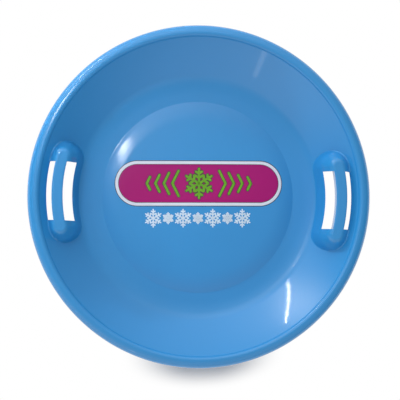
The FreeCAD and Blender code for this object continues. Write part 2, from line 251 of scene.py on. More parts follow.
class SledLabel(bpy.types.PropertyGroup):
    """Label film on the seat and the white print below it."""
    length: metres("Length", 0.3, "Length of the film")
    width: metres("Width", 0.082, "Width of the film")
    offset: metres("Offset", 0.024, "From the dish's axis to the film's middle")
    turn: degrees("Turn", 1.9, "Turn of the film about the axis")
    film: metres("Film", 0.00025, "Thickness of the film")
    line: metres("Line", 0.0012, "Width of the thin line along the edge")
    border: metres("Border", 0.0065, "From the edge to the end of the pale border")
    inner_line: metres("Inner line", 0.0075, "From the edge to the end of the line round the field")
    ink: metres("Ink", 0.00006, "Thickness of the ink")
    motif: metres("Motif", 0.026, "Reach of the snow crystal")
    stroke: metres("Stroke", 0.0042, "Width of the motif's strokes")
    shade: metres("Shade", 0.0022, "How much wider the dark strokes under the motif are")
    chevrons: how_many("Chevrons", 4, "Chevrons on each side")
    chevron_pitch: metres("Chevron pitch", 0.016, "Spacing of the chevrons")
    print_offset: metres("Print offset", -0.038, "From the dish's axis to the row of white crystals")
    print_film: metres("Print film", 0.00012, "Thickness of the white print")
    print_stroke: metres("Print stroke", 0.0024, "Width of the white strokes")
    crystals: how_many("Crystals", 7, "White crystals in the row")
    crystal: metres("Crystal", 0.0155, "Reach of a large white crystal")
    crystal_pitch: metres("Crystal pitch", 0.0265, "Spacing of the white crystals")


class SledFinish(bpy.types.PropertyGroup):
    """Colours of the plastic, the film and the inks."""
    plastic: linear_colour("Plastic", (0.027, 0.272, 0.635), "Moulded plastic")
    field: linear_colour("Field", (0.36, 0.003, 0.155), "Label's field")
    border: linear_colour("Border", (0.66, 0.72, 0.82), "Label's border")
    outline: linear_colour("Outline", (0.03, 0.025, 0.04), "Thin lines round the label")
    motif: linear_colour("Motif", (0.14, 0.38, 0.02), "Label's motif")
    print: linear_colour("Print", (0.62, 0.76, 0.9), "White print on the seat")


class SledStage(bpy.types.PropertyGroup):
    """Place of the camera."""
    distance: metres("Camera distance", 2.1, "Height of the camera above the floor")
    lean_x: degrees("Camera lean X", -4.5, "Camera's lean from the axis towards the right grip")
    lean_y: degrees("Camera lean Y", -2.85, "Camera's lean from the axis towards the label's side")
    roll: degrees("Camera roll", 1.75, "Camera's turn about its line of sight")


class SledSettings(bpy.types.PropertyGroup):
    """All settings of the sled."""
    dish: bpy.props.PointerProperty(type=SledDish)
    grip: bpy.props.PointerProperty(type=SledGrip)
    label: bpy.props.PointerProperty(type=SledLabel)
    finish: bpy.props.PointerProperty(type=SledFinish)
    stage: bpy.props.PointerProperty(type=SledStage)


# Meshes.
class Patch:
    """A grid of points, rows by columns, whose faces look along rows x columns unless flipped.

    keep says for each gap between two columns whether its faces are made.
    """

    def __init__(self, points, flip=False, keep=None):
        self.points = np.asarray(points, dtype=float)
        self.flip = flip
        self.keep = keep

    def faces(self, start):
        """Returns the quads of the grid, with points numbered from start."""
        rows, columns = self.points.shape[:2]
        index = start + np.arange(rows * columns).reshape(rows, columns)
        quads = np.stack([index[:-1, :-1], index[1:, :-1], index[1:, 1:], index[:-1, 1:]], axis=-1)
        if self.keep is not None:
            quads = quads[:, self.keep]
        quads = quads.reshape(-1, 4)
        return quads[:, ::-1] if self.flip else quads

    def mirrored(self, signs):
        """Returns the mirror image for signs such as (-1, 1, 1)."""
        turned = np.prod(signs) < 0
        return Patch(self.points * np.array(signs), self.flip != turned, self.keep)


def polar(radius, turn, height):
    """Returns points at a radius from the dish's axis, a turn about it and a height, numbers or arrays."""
    radius, turn, height = np.broadcast_arrays(radius, turn, height)
    return np.stack([radius * np.cos(turn), radius * np.sin(turn), height], axis=-1)


def lower_of(first, second, blend):
    """Returns the lower of two heights. Where they differ by less than the blend k, a parabola joins them.

    There (k - difference)^2 / 4k is taken off.
    """
    return np.minimum(first, second) - np.clip(blend - np.abs(first - second), 0, None) ** 2 / (4 * blend)


def follow_dish(mesh, dish):
    """Gives corners on the dish's upper surface its own normal, so that pieces meet without a visible seam.

    At a radius r and slope sine s the normal is (-s x / r, -s y / r, sqrt(1 - s^2)).
    """
    points = np.empty(3 * len(mesh.vertices))
    mesh.vertices.foreach_get("co", points)
    corners = np.empty(len(mesh.loops), dtype=int)
    mesh.loops.foreach_get("vertex_index", corners)
    normals = np.empty(3 * len(mesh.loops))
    mesh.corner_normals.foreach_get("vector", normals)
    normals = normals.reshape(-1, 3)
    x, y, height = points.reshape(-1, 3)[corners].T
    radius = np.maximum(np.hypot(x, y), WELD)
    sine = dish.sine(radius)
    upward = np.sqrt(1 - np.clip(sine, -1, 1) ** 2)
    exact = np.stack([-sine * x / radius, -sine * y / radius, upward], axis=-1)
    near = np.abs(height - dish.top(radius)) < WELD
    agree = np.sum(normals * exact, axis=1) > math.cos(SEAM_ANGLE)
    on_dish = near & agree & (radius < dish.slope_end)
    normals[on_dish] = exact[on_dish]
    mesh.normals_split_custom_set(normals.tolist())


def add_piece(name, patches, material, dish=None):
    """Makes one smooth mesh of patches, welded along shared edges, and lets it ride on the sled's body."""
    points = np.concatenate([patch.points.reshape(-1, 3) for patch in patches])
    starts = np.cumsum([0] + [patch.points[..., 0].size for patch in patches[:-1]])
    quads = np.concatenate([patch.faces(start) for patch, start in zip(patches, starts)])
    mesh = bpy.data.meshes.new(name)
    mesh.from_pydata(points.tolist(), [], quads.tolist())
    work = bmesh.new()
    work.from_mesh(mesh)
    bmesh.ops.remove_doubles(work, verts=work.verts, dist=WELD)
    work.to_mesh(mesh)
    work.free()
    mesh.shade_smooth()
    mesh.set_sharp_from_angle(angle=SHARP_ANGLE)
    if dish:
        follow_dish(mesh, dish)
    mesh.materials.append(material)
    piece = bpy.data.objects.new(name, mesh)
    bpy.context.scene.collection.objects.link(piece)
    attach(piece, BODY)
    return piece


# Dish.
class Dish:
    """Wall of the dish as a chain of tangent arcs, turned about the axis.

    From radius r0, height z0 and slope sine s0, an arc of signed radius q, positive where it bends upwards,
    has the slope sine s = s0 + (r - r0) / q and the height z = z0 + q * (sqrt(1 - s0^2) - sqrt(1 - s^2)).
    """
    # Radius that stands for a flat stretch, and the number of the running ring's arc.
    FLAT = 1e5
    RING = 3

    def __init__(self, sizes):
        self.wall = sizes.wall
        crease = sizes.crease_radius * (sizes.dome_width / sizes.dome_radius
                                        + sizes.shoulder_width / sizes.shoulder_radius)
        radii = np.array([-sizes.dome_radius, -sizes.shoulder_radius, sizes.crease_radius, self.FLAT,
                          sizes.toe_radius, sizes.knee_radius, sizes.slope_radius])
        widths = np.array([sizes.dome_width, sizes.shoulder_width, crease, sizes.ring_width,
                           sizes.toe_width, sizes.knee_width, sizes.slope_width])
        sines = np.concatenate([[0], np.cumsum(widths / radii)])
        drops = radii * (np.sqrt(1 - sines[:-1] ** 2) - np.sqrt(1 - sines[1:] ** 2))
        heights = np.concatenate([[0], np.cumsum(drops)])
        self.radii = radii
        self.sines = sines
        self.starts = np.concatenate([[0], np.cumsum(widths)])
        self.heights = heights - heights[self.RING] + sizes.wall
        self.ring_end = self.starts[self.RING + 1]
        self.slope_start = self.starts[-2]
        self.slope_end = self.starts[-1]
        self.sizes = sizes

    def arc(self, radius):
        """Returns the number of the arc at a radius from the axis."""
        return np.clip(np.searchsorted(self.starts, radius, side="right") - 1, 0, len(self.radii) - 1)

    def sine(self, radius):
        """Returns the sine of the upper surface's slope at a radius."""
        arc = self.arc(radius)
        return self.sines[arc] + (radius - self.starts[arc]) / self.radii[arc]

    def top(self, radius):
        """Returns the height of the upper surface at a radius."""
        arc = self.arc(radius)
        cosine = np.sqrt(1 - self.sine(radius) ** 2)
        return self.heights[arc] + self.radii[arc] * (np.sqrt(1 - self.sines[arc] ** 2) - cosine)

    def under(self, radius):
        """Returns the radius and height of the underside, the upper surface moved square to itself."""
        sine = self.sine(radius)
        return radius + self.wall * sine, self.top(radius) - self.wall * np.sqrt(1 - sine ** 2)

    def underside(self, radius):
        """Returns the underside's height at its own radius, found by stepping towards the foot point."""
        foot = np.array(radius, dtype=float)
        for _ in range(STEPPING_ROUNDS):
            foot = radius - self.wall * self.sine(foot)
        return self.under(foot)[1]

    def rim(self):
        """Returns radius and height along the rim, from the end of the slope over the roll to the underside.

        Each arc adds q * (sin b - sin a) to the radius and q * (cos a - cos b) to the height as the slope
        goes from a to b. The skirt ends in a half-round lip, and the way back runs a wall's thickness below.
        """
        sizes = self.sizes
        slope = math.asin(self.sines[-1])
        upright = -math.pi / 2
        bends = ((sizes.rim_fillet, slope, sizes.lip_angle, RIM_FILLET_STEPS),
                 (-sizes.bead_radius, sizes.lip_angle, 0, BEAD_STEPS),
                 (-sizes.roll_radius, 0, upright, ROLL_STEPS))
        radius, height, slopes = self.slope_end, self.heights[-1], []
        radii, heights = [], []
        for bend, start, end, steps in bends:
            turn = np.linspace(start, end, steps + 1)[:-1]
            radii.append(radius + bend * (np.sin(turn) - math.sin(start)))
            heights.append(height + bend * (math.cos(start) - np.cos(turn)))
            slopes.append(turn)
            radius += bend * (math.sin(end) - math.sin(start))
            height += bend * (math.cos(start) - math.cos(end))
        radii.append(np.full(2, radius))
        heights.append(np.array([height, height - sizes.skirt_height]))
        slopes.append(np.full(2, upright))
        radii, heights, slopes = (np.concatenate(part) for part in (radii, heights, slopes))
        half = self.wall / 2
        swing = np.linspace(0, math.pi, LIP_STEPS + 2)[1:-1]
        lip = (radius - half + half * np.cos(swing), height - sizes.skirt_height - half * np.sin(swing))
        back = (radii + self.wall * np.sin(slopes), heights - self.wall * np.cos(slopes))
        return tuple(np.concatenate([front, edge, under[::-1]])
                     for front, edge, under in zip((radii, heights), lip, back))


# Grips, all worked out for the right-hand one, at +X.
class Grip:
    """Mound along a spine, an arc about the dish's axis with a half-round cap at each end."""

    def __init__(self, sizes, dish):
        self.sizes = sizes
        self.dish = dish
        self.spine = dish.slope_start + sizes.spine_inset
        self.cap_turn = math.asin((sizes.window_half + sizes.cap_inset) / self.spine)
        self.cap = self.spine * np.array([math.cos(self.cap_turn), math.sin(self.cap_turn)])
        self.bar_half = sizes.bar_width / 2
        self.inner_far = self.bar_half + sizes.inner_gap
        self.outer_far = self.bar_half + sizes.outer_gap
        self.hollow_half = (sizes.crest_half + sizes.wall * math.tan(sizes.shoulder_draft)
                            - sizes.wall / math.cos(sizes.shoulder_draft))
        self.hollow_side = sizes.side_reach - sizes.wall / math.cos(sizes.side_draft)
        self.swing = np.linspace(0, math.pi, 2 * CAP_STEPS + 1)
        self.inner_foot, self.cap_foot, self.outer_foot = self.feet()
        self.inner_hollow, self.cap_hollow, self.outer_hollow = self.feet(hollow=True)

    def feet(self, hollow=False):
        """Returns the reach of the foot inwards from the spine, round the cap, and outwards."""
        ways = (lambda reach: self.spine - reach,
                lambda reach: np.hypot(*self.cap_point(reach)),
                lambda reach: self.spine + reach)
        return [self.foot(way, hollow) for way in ways]

    def cap_point(self, reach):
        """Returns x and y at a reach from the cap's middle, for each swing from the axis's side outwards."""
        turn = self.cap_turn + math.pi - self.swing
        return self.cap[0] + reach * np.cos(turn), self.cap[1] + reach * np.sin(turn)

    def mound(self, reach, hollow=False):
        """Returns the mound's height at a reach from the spine, the lowest of crest, shoulder and side."""
        sizes = self.sizes
        top, half, side = sizes.mound_top, sizes.crest_half, sizes.side_reach
        if hollow:
            top, half, side = top - sizes.wall, self.hollow_half, self.hollow_side
        shoulder = top - (reach - half) / math.tan(sizes.shoulder_draft)
        flank = sizes.side_level - (reach - side) / math.tan(sizes.side_draft)
        return lower_of(lower_of(top, shoulder, sizes.crest_blend), flank, sizes.side_blend)

    def foot(self, radius_at, hollow=False):
        """Returns the reach at which the mound meets the dish, found by halving.

        The outside runs out into the upper surface, where the plain mound is a blend's height below it. The
        hollow ends at the underside.
        """
        low = np.zeros_like(self.swing)
        high = np.full_like(self.swing, 2 * self.sizes.mound_top)
        for _ in range(HALVING_ROUNDS):
            middle = (low + high) / 2
            radius = radius_at(middle)
            if hollow:
                clear = self.mound(middle, True) - self.dish.underside(radius)
            else:
                clear = self.mound(middle) - self.dish.top(radius) + self.sizes.foot_blend
            low = np.where(clear > 0, middle, low)
            high = np.where(clear > 0, high, middle)
        return low

    def skin(self, x, y, reach):
        """Returns points of the outside: the higher of mound and dish, joined by a parabola."""
        wall = self.dish.top(np.hypot(x, y))
        height = -lower_of(-self.mound(reach), -wall, self.sizes.foot_blend)
        return np.stack([x, y, height], axis=-1)


def window_turn(half, radius):
    """Returns the turn about the axis at which a line at y = half crosses a radius."""
    return np.arcsin(half / radius)


def closed_turn(turn, *values):
    """Carries columns of a quarter turn round all four quarters by mirroring, closed at the end."""
    back = turn[::-1][1:]
    angles = np.concatenate([turn, math.pi - back, math.pi + turn[1:], 2 * math.pi - back])
    return (angles, *(np.concatenate([part, part[::-1][1:], part[1:], part[::-1][1:]]) for part in values))


def shell_patches(dish, grip):
    """Returns the dish's patches: seat, wall with rim, underside, and the edges of the holes for the grips.

    Columns run round the axis and rows outwards. The line between the inner and the outer patch follows the
    grip's foot on either side of its hole, and elsewhere both share it.
    """
    cap_x, cap_y = grip.cap_point(grip.cap_foot)
    cap_turn = np.arctan2(cap_y, cap_x)
    cap_radius = np.hypot(cap_x, cap_y)
    tip = int(np.argmax(cap_turn))
    beyond = np.linspace(cap_turn[tip], math.pi / 2, WIDE_STEPS + 1)[1:]
    shared = np.full_like(beyond, cap_radius[tip])

    straight = np.linspace(0, grip.cap_turn, STRAIGHT_STEPS + 1)[:-1]
    inner_line = np.full_like(straight, grip.spine - grip.inner_foot[0])
    inner_turn = np.concatenate([straight, cap_turn[:tip + 1], beyond])
    inner_radius = np.concatenate([inner_line, cap_radius[:tip + 1], shared])
    inner_open = np.arange(inner_turn.size) < straight.size + tip

    half = grip.sizes.window_half
    notch = grip.spine + grip.outer_far
    outer = grip.spine + grip.outer_foot[0]
    notch_turn = np.linspace(0, window_turn(half, notch), STRAIGHT_STEPS)
    end_turn = np.linspace(window_turn(half, outer), grip.cap_turn, END_STEPS + 1)[:-1]
    round_end = slice(cap_turn.size - 1, tip - 1, -1)
    outer_turn = np.concatenate([notch_turn, end_turn, cap_turn[round_end], beyond])
    outer_radius = np.concatenate([np.full_like(notch_turn, notch), np.full_like(end_turn, outer),
                                   cap_radius[round_end], shared])
    outer_open = np.arange(outer_turn.size) < outer_turn.size - beyond.size - 1

    inner_turn, inner_radius, inner_open = closed_turn(inner_turn, inner_radius, inner_open)
    outer_turn, outer_radius, outer_open = closed_turn(outer_turn, outer_radius, outer_open)
    bands = zip(dish.starts, dish.starts[1:], (SEAT_STEPS, SHOULDER_STEPS, CREASE_STEPS, RING_STEPS))
    seat = np.concatenate([*(np.linspace(*band, endpoint=False) for band in bands), [dish.ring_end]])
    rise = np.linspace(0, 1, RISE_STEPS + 1)[1:, None]
    inner = np.concatenate([np.repeat(seat[:, None], inner_radius.size, axis=1),
                            dish.ring_end + rise * (inner_radius - dish.ring_end)])
    climb = np.linspace(0, 1, CLIMB_STEPS + 1)[:-1, None]
    outer = outer_radius + climb * (dish.slope_end - outer_radius)
    rim_radius, rim_height = (np.repeat(part[:, None], outer_radius.size, axis=1) for part in dish.rim())
    under_radius, under_height = dish.under(outer)
    wall_radius = np.concatenate([outer, rim_radius, under_radius[::-1]])
    wall_height = np.concatenate([dish.top(outer), rim_height, under_height[::-1]])
    top = polar(inner, inner_turn, dish.top(inner))
    bottom = polar(dish.under(inner)[0], inner_turn, dish.under(inner)[1])
    wall = polar(wall_radius, outer_turn, wall_height)
    return [Patch(top), Patch(bottom, flip=True), Patch(wall),
            Patch(np.stack([top[-1], bottom[-1]]), keep=inner_open[:-1] | inner_open[1:]),
            Patch(np.stack([wall[0], wall[-1]]), flip=True, keep=outer_open[:-1] | outer_open[1:])]


def grip_patches(grip):
    """Returns the patches of the right-hand grip.

    Rows run out from the spine and columns along it. The ends are made for +Y and mirrored. Outside and
    hollow have the same rows up to the windows, so the windows' edges join them.
    """
    sizes, dish = grip.sizes, grip.dish
    half = sizes.window_half
    crest = np.linspace(0, grip.bar_half, CREST_STEPS + 1)

    def reaches(foot):
        """Returns rows of reach from spine to foot, with rows at the bar's side and the window's end.

        Past the window the rows lie closer and closer, by squares, as the side gets steeper.
        """
        share = (grip.inner_far - grip.bar_half) / (foot[0] - grip.bar_half)
        left = np.linspace(1, 0, FLANK_STEPS + 1)[1:] ** 2
        shares = np.concatenate([np.linspace(0, share, GAP_STEPS + 1), 1 - (1 - share) * left])
        side = grip.bar_half + shares[1:, None] * (foot - grip.bar_half)
        return np.concatenate([np.repeat(crest[:, None], foot.size, axis=1), side])

    def end_columns(inner_foot, cap_foot, outer_foot):
        """Returns x, y and reach over an end of the mound, from the inner window round to the outer one."""
        blend = np.linspace(0, 1, END_STEPS + 1)
        inner_reach = reaches(inner_foot[:1])
        cap_reach = reaches(np.concatenate([inner_foot[:1], cap_foot[1:-1], outer_foot[:1]]))
        outer_reach = cap_reach[:, -1:]
        columns = []
        for reach, way in ((inner_reach, -1), (outer_reach, 1)):
            radius = grip.spine + way * reach
            turn = (1 - blend) * window_turn(half, radius) + blend * grip.cap_turn
            points = polar(radius, turn, 0)
            columns.append((points[..., 0], points[..., 1], np.repeat(reach, blend.size, axis=1)))
        cap = (*grip.cap_point(cap_reach), cap_reach)
        inner, outer = columns
        return [np.concatenate([first, middle[:, 1:-1], last[:, ::-1]], axis=1)
                for first, middle, last in zip(inner, cap, outer)]

    outside = grip.skin(*end_columns(grip.inner_foot, grip.cap_foot, grip.outer_foot))
    x, y, reach = end_columns(grip.inner_hollow, grip.cap_hollow, grip.outer_hollow)
    hollow = np.stack([x, y, grip.mound(reach, True)], axis=-1)
    seam = seam_line(dish, outside[-1])
    gap = slice(CREST_STEPS, CREST_STEPS + GAP_STEPS + 1)
    inner_edge = np.stack([outside[gap, 0], hollow[gap, 0]], axis=1)
    outer_edge = np.stack([np.concatenate([outside[CREST_STEPS:, -1], seam[None, -1]]),
                           np.concatenate([hollow[CREST_STEPS:, -1], hollow[None, -1, -1]])], axis=1)
    ends = [Patch(outside, flip=True), Patch(hollow), Patch(np.stack([outside[-1], seam]), flip=True),
            Patch(np.stack([seam, hollow[-1]]), flip=True), Patch(inner_edge), Patch(outer_edge, flip=True)]

    along = np.linspace(-half, half, WINDOW_STEPS + 1)
    across = np.concatenate([-crest[::-1], crest[1:]])[:, None]
    bar_top = polar(grip.spine + across, window_turn(along, grip.spine + across), grip.mound(np.abs(across)))
    flank_start = CREST_STEPS + GAP_STEPS
    flank = reaches(grip.inner_foot[:1])[flank_start:]
    flank_points = polar(grip.spine - flank, window_turn(along, grip.spine - flank), 0)
    flank_skin = grip.skin(flank_points[..., 0], flank_points[..., 1], flank)
    back = reaches(grip.inner_hollow[:1])[flank_start:]
    back_skin = polar(grip.spine - back, window_turn(along, grip.spine - back), grip.mound(back, True))
    flank_seam = seam_line(dish, flank_skin[-1])
    middle = [Patch(bar_top), Patch(flank_skin, flip=True), Patch(back_skin),
              Patch(np.stack([flank_skin[0], back_skin[0]])),
              Patch(np.stack([flank_skin[-1], flank_seam]), flip=True),
              Patch(np.stack([flank_seam, back_skin[-1]]), flip=True)]
    return ends + [patch.mirrored((1, -1, 1)) for patch in ends] + middle + channel_patches(grip)


def seam_line(dish, line):
    """Returns the line where a grip's seam comes out at the dish's underside, below its upper line."""
    radius, height = dish.under(np.hypot(line[:, 0], line[:, 1]))
    return polar(radius, np.arctan2(line[:, 1], line[:, 0]), height)


def channel_patches(grip):
    """Returns the bar's sides and its channel, open below, with cross ribs.

    A leg's section goes down its outside, across its foot and up its inside, and is carried along the bar.
    """
    sizes = grip.sizes
    outer = grip.bar_half
    inner = outer - sizes.wall
    edge = float(grip.mound(outer))
    bottom = sizes.mound_top - sizes.bar_depth
    ceiling = sizes.mound_top - sizes.wall
    side = np.array([outer, outer, outer, outer, outer - EDGE, inner + EDGE, inner, inner, inner])
    rise = np.array([edge, edge - EDGE, bottom + EDGE, bottom,
                     bottom, bottom, bottom, bottom + EDGE, ceiling])
    # Rows of the section that are corners of a leg's end, upper ones first.
    outside_corners, inside_corners = [0, 3], [8, 6]
    across = np.concatenate([-side, side[::-1]])[:, None]
    height = np.concatenate([rise, rise[::-1]])[:, None]
    end = sizes.window_half + sizes.cap_inset
    window = np.linspace(-sizes.window_half, sizes.window_half, WINDOW_STEPS + 1)
    along = np.concatenate([[-end], window, [end]])
    channel = polar(grip.spine + across, window_turn(along, grip.spine + across), height)
    patches = [Patch(channel, flip=True)]
    for leg in (channel, channel[::-1]):
        for column in (0, -1):
            closing = np.stack([leg[outside_corners, column], leg[inside_corners, column]], axis=1)
            patches.append(Patch(closing, flip=(column == 0) == (leg is channel)))
    places = sizes.rib_pitch * (np.arange(sizes.rib_count) - (sizes.rib_count - 1) / 2)
    thick = sizes.rib_thickness / 2
    shift = np.array([-thick, -thick, thick, thick])[:, None]
    level = np.array([ceiling, bottom, bottom, ceiling])[:, None]
    reach = np.array([-inner, inner])
    for place in places:
        middle = math.sqrt(grip.spine ** 2 - place ** 2)
        patches.append(Patch(np.stack(np.broadcast_arrays(middle + reach, place + shift, level), axis=-1)))
    return patches


# Film and print.
def film_patches(dish, strokes, lift, thickness):
    """Returns thin capsules that lie on the seat, one for each stroke (x, y, turn, length, width).

    A point is the stroke's core, a straight line, plus a share of half the width in the direction of each
    column, which goes once round the capsule. The seat gives its height.
    """
    patches = []
    for x, y, turn, length, width in strokes:
        steps = CAPSULE_STEPS + int(width / CAPSULE_STEP_WIDTH)
        caps = np.linspace(-math.pi / 2, math.pi / 2, steps + 1)
        core = max(length - width, 0) / 2
        runs = max(int(length / CAPSULE_RUN), 1)
        run = np.linspace(core, -core, runs + 1)[1:-1]
        cores = np.concatenate([np.full_like(caps, core), run, np.full_like(caps, -core), -run, [core]])
        ways = np.concatenate([caps, np.full_like(run, math.pi / 2), caps + math.pi,
                               np.full_like(run, -math.pi / 2), caps[:1]])
        shares = np.linspace(0, 1, max(int(width / CAPSULE_RUN), 1) + 1)[:, None]
        local = np.stack([cores + shares * width / 2 * np.cos(ways), shares * width / 2 * np.sin(ways)])
        plan_x = x + local[0] * math.cos(turn) - local[1] * math.sin(turn)
        plan_y = y + local[0] * math.sin(turn) + local[1] * math.cos(turn)
        seat = dish.top(np.hypot(plan_x, plan_y))
        upper = np.stack([plan_x, plan_y, seat + lift + thickness], axis=-1)
        lower = np.stack([plan_x, plan_y, seat + lift], axis=-1)
        patches += [Patch(upper), Patch(lower, flip=True), Patch(np.stack([upper[-1], lower[-1]]))]
    return patches


def crystal_strokes(x, y, size, width):
    """Returns the strokes of a six-armed snow crystal: arms, and two pairs of side branches on each."""
    arms = CRYSTAL_TURN + np.arange(6) * SIXTH_TURN
    strokes = [(x + size / 2 * math.cos(arm), y + size / 2 * math.sin(arm), arm, size + width, width)
               for arm in arms]
    for start, share in CRYSTAL_BRANCH_SHARES:
        for side in (-1, 1):
            ways = arms + side * SIXTH_TURN
            branch = share * size
            at_x = x + start * size * np.cos(arms) + branch / 2 * np.cos(ways)
            at_y = y + start * size * np.sin(arms) + branch / 2 * np.sin(ways)
            strokes += [(cx, cy, way, branch + width, width) for cx, cy, way in zip(at_x, at_y, ways)]
    return strokes


def chevron_strokes(x, size, width):
    """Returns the two strokes of a chevron that points away from the label's middle."""
    side = math.copysign(1, x)
    long = math.hypot(size, size / 2) + width
    return [(x, way * size / 2, math.atan2(-2 * way, side), long, width) for way in (-1, 1)]


def motif_strokes(label):
    """Returns the strokes of the label's motif: a snow crystal, and chevrons that shrink to either side."""
    strokes = crystal_strokes(0, 0, label.motif, label.stroke)
    for number in range(1, label.chevrons + 1):
        place = label.motif + number * label.chevron_pitch
        size = label.motif * (1 - number / (label.chevrons + CHEVRON_TAPER))
        for side in (-1, 1):
            strokes += chevron_strokes(side * place, size, label.stroke)
    return strokes


def print_strokes(label):
    """Returns the strokes of the row of white crystals, large and small ones in turn."""
    strokes = []
    for number in range(label.crystals):
        place = (number - (label.crystals - 1) / 2) * label.crystal_pitch
        large = number % 2 == 0
        size = label.crystal * (1 if large else SMALL_CRYSTAL_SHARE)
        strokes += crystal_strokes(place, 0, size, label.print_stroke)
    return strokes


def turned(strokes, turn, offset):
    """Returns strokes that were laid out about the label's middle, turned and moved to the label's place."""
    cosine, sine = math.cos(turn), math.sin(turn)
    return [(x * cosine - y * sine, offset + x * sine + y * cosine, way + turn, length, width)
            for x, y, way, length, width in strokes]


# Materials.
def add_node(tree, kind, inputs=None, **settings):
    """Adds a node, sets its properties, and links or sets its inputs."""
    item = tree.nodes.new(kind)
    for name, value in settings.items():
        setattr(item, name, value)
    for name, value in (inputs or {}).items():
        if isinstance(value, bpy.types.NodeSocket):
            tree.links.new(value, item.inputs[name])
        else:
            item.inputs[name].default_value = value
    return item


def add_math(tree, operation, *values):
    """Adds a math node and returns its output."""
    return add_node(tree, "ShaderNodeMath", dict(enumerate(values)), operation=operation).outputs[0]


def mix_colours(tree, share, first, second):
    """Adds a colour mix and returns its output."""
    mix = add_node(tree, "ShaderNodeMix", {0: share, 6: first, 7: second}, data_type="RGBA")
    return mix.outputs[2]


def smooth_step(tree, value, start, end):
    """Adds a smooth ramp from 0 at start to 1 at end and returns its output."""
    ramp = add_node(tree, "ShaderNodeMapRange", {"Value": value, "From Min": start, "From Max": end},
                    interpolation_type="SMOOTHSTEP")
    return ramp.outputs[0]


def flat_distance(tree, coordinates, middle=(0, 0)):
    """Adds the distance in plan from an upright line and returns its output."""
    moved = add_node(tree, "ShaderNodeVectorMath", {0: coordinates, 1: (*middle, 0)}, operation="SUBTRACT")
    flat = add_node(tree, "ShaderNodeVectorMath", {0: moved.outputs[0], 1: (1, 1, 0)}, operation="MULTIPLY")
    return add_node(tree, "ShaderNodeVectorMath", {0: flat.outputs[0]}, operation="LENGTH").outputs["Value"]


def opaque(paint, scale=1.0):
    """Returns a colour with full alpha, brighter or darker by a scale."""
    return (*(min(part * scale, 1.0) for part in paint), 1.0)


def moulded_surface():
    """Builds the node group of a moulded surface: cloudy colour and gloss, and a faint orange peel."""
    group = bpy.data.node_groups.new("moulded_surface", "ShaderNodeTree")
    inputs = {"Vector": "Vector", "Light": "Color", "Dark": "Color", "Roughness": "Float", "Spread": "Float",
              "Peel": "Float"}
    outputs = {"Color": "Color", "Roughness": "Float", "Height": "Float"}
    for way, sockets in (("INPUT", inputs), ("OUTPUT", outputs)):
        for name, kind in sockets.items():
            group.interface.new_socket(name, in_out=way, socket_type="NodeSocket" + kind)
    given = add_node(group, "NodeGroupInput").outputs
    cloud, scuff, peel = (
        add_node(group, "ShaderNodeTexNoise", {"Vector": given["Vector"], "Scale": scale, "Detail": detail})
        for scale, detail in (CLOUD_NOISE, SCUFF_NOISE, PEEL_NOISE))
    tint = mix_colours(group, cloud.outputs["Fac"], given["Light"], given["Dark"])
    off = add_math(group, "SUBTRACT", scuff.outputs["Fac"], NOISE_MIDDLE)
    rough = add_math(group, "MULTIPLY_ADD", off, given["Spread"], given["Roughness"])
    height = add_math(group, "MULTIPLY", peel.outputs["Fac"], given["Peel"])
    add_node(group, "NodeGroupOutput", {"Color": tint, "Roughness": rough, "Height": height})
    return group


def new_material(name):
    """Returns a new material with its node tree, its shader and its object coordinates."""
    material = bpy.data.materials.new(name)
    material.use_nodes = True
    tree = material.node_tree
    shader = tree.nodes["Principled BSDF"]
    coordinates = tree.nodes.new("ShaderNodeTexCoord").outputs["Object"]
    return material, tree, shader, coordinates


def add_surface(tree, coordinates, paint, tints, roughness, spread):
    """Places the moulded surface group in a material with its own values."""
    group = bpy.data.node_groups.get("moulded_surface") or moulded_surface()
    light, dark = (opaque(paint, tint) for tint in tints)
    return add_node(tree, "ShaderNodeGroup", {"Vector": coordinates, "Light": light, "Dark": dark,
                    "Roughness": roughness, "Spread": spread, "Peel": PEEL_HEIGHT}, node_tree=group).outputs


def wire_shader(tree, shader, paint, roughness, height, specular):
    """Leads colour, roughness and height to the shader, and sets how strongly it reflects."""
    bump = add_node(tree, "ShaderNodeBump", {"Height": height, "Distance": 1.0, "Strength": 1.0})
    tree.links.new(paint, shader.inputs["Base Color"])
    tree.links.new(roughness, shader.inputs["Roughness"])
    tree.links.new(bump.outputs["Normal"], shader.inputs["Normal"])
    shader.inputs["Specular IOR Level"].default_value = specular


def add_ripples(tree, coordinates, dish):
    """Adds the height of faint rings in the wall, a sine of the radius, and returns its output."""
    radius = flat_distance(tree, coordinates)
    wander = add_node(tree, "ShaderNodeTexNoise", {"Vector": coordinates, "Scale": RIPPLE_WANDER_SCALE})
    phase = add_math(tree, "MULTIPLY_ADD", wander.outputs["Fac"], RIPPLE_WANDER * 2 * math.pi,
                     add_math(tree, "MULTIPLY", radius, 2 * math.pi / RIPPLE_PITCH))
    wave = add_math(tree, "SINE", phase)
    start, end = dish.slope_start, dish.slope_end
    mask = add_math(tree, "MULTIPLY", smooth_step(tree, radius, start, start + RIPPLE_FADE),
                    smooth_step(tree, radius, end - RIPPLE_FADE, end - 2 * RIPPLE_FADE))
    return add_math(tree, "MULTIPLY", wave, add_math(tree, "MULTIPLY", mask, RIPPLE_HEIGHT))


def plastic_material(name, paint, dish=None):
    """Returns the moulded plastic, on the dish with faint rings in its wall."""
    material, tree, shader, coordinates = new_material(name)
    surface = add_surface(tree, coordinates, paint, PLASTIC_TINTS, PLASTIC_ROUGHNESS, PLASTIC_UNEVEN)
    height = surface["Height"]
    if dish:
        height = add_math(tree, "ADD", height, add_ripples(tree, coordinates, dish))
    wire_shader(tree, shader, surface["Color"], surface["Roughness"], height, PLASTIC_SPECULAR)
    shader.inputs["Coat Weight"].default_value = HAZE_WEIGHT
    shader.inputs["Coat Roughness"].default_value = HAZE_ROUGHNESS
    return material


